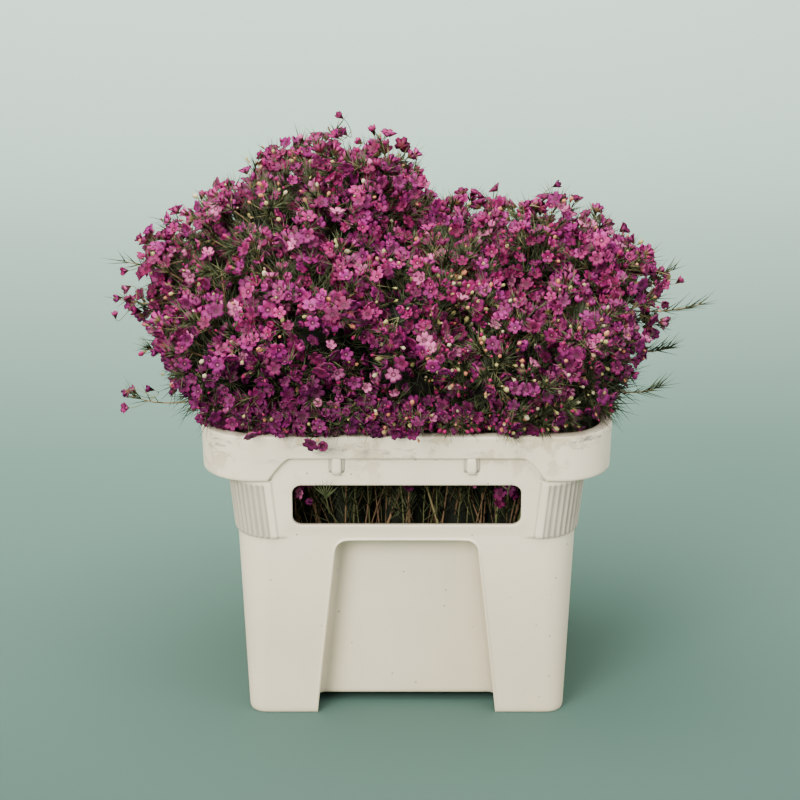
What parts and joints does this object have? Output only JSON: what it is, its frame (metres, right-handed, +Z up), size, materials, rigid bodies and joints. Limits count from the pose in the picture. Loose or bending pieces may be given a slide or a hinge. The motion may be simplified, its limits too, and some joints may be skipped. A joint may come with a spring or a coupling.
{
  "type": "bucket of cut waxflower stems",
  "caption": "Rectangular rimmed bucket with a hand slot in each long side, filled with upright cut waxflower stems in bloom.",
  "frame": {"origin": "on the ground under the middle of the bucket", "axes": "+Z up, +X along the bucket's long sides, -Y towards the viewer of the picture"},
  "size_m": [0.5967, 0.3401, 0.5776],
  "materials": {
    "bucket_plastic": "satin, scuffed",
    "bloom": "waxy petals",
    "greens": "waxy needle leaves and twigs"
  },
  "bodies": {
    "root": {"bucket": "bucket_plastic", "stem_01": "bloom", "stem_02": "bloom", "stem_03": "bloom", "stem_04": "bloom", "stem_05": "bloom", "stem_06": "bloom", "stem_07": "bloom", "stem_08": "bloom", "stem_09": "bloom", "stem_10": "bloom", "stem_11": "bloom", "stem_12": "bloom", "stem_13": "bloom", "stem_14": "bloom", "stem_15": "bloom", "stem_16": "bloom"}
  },
  "joints": []
}
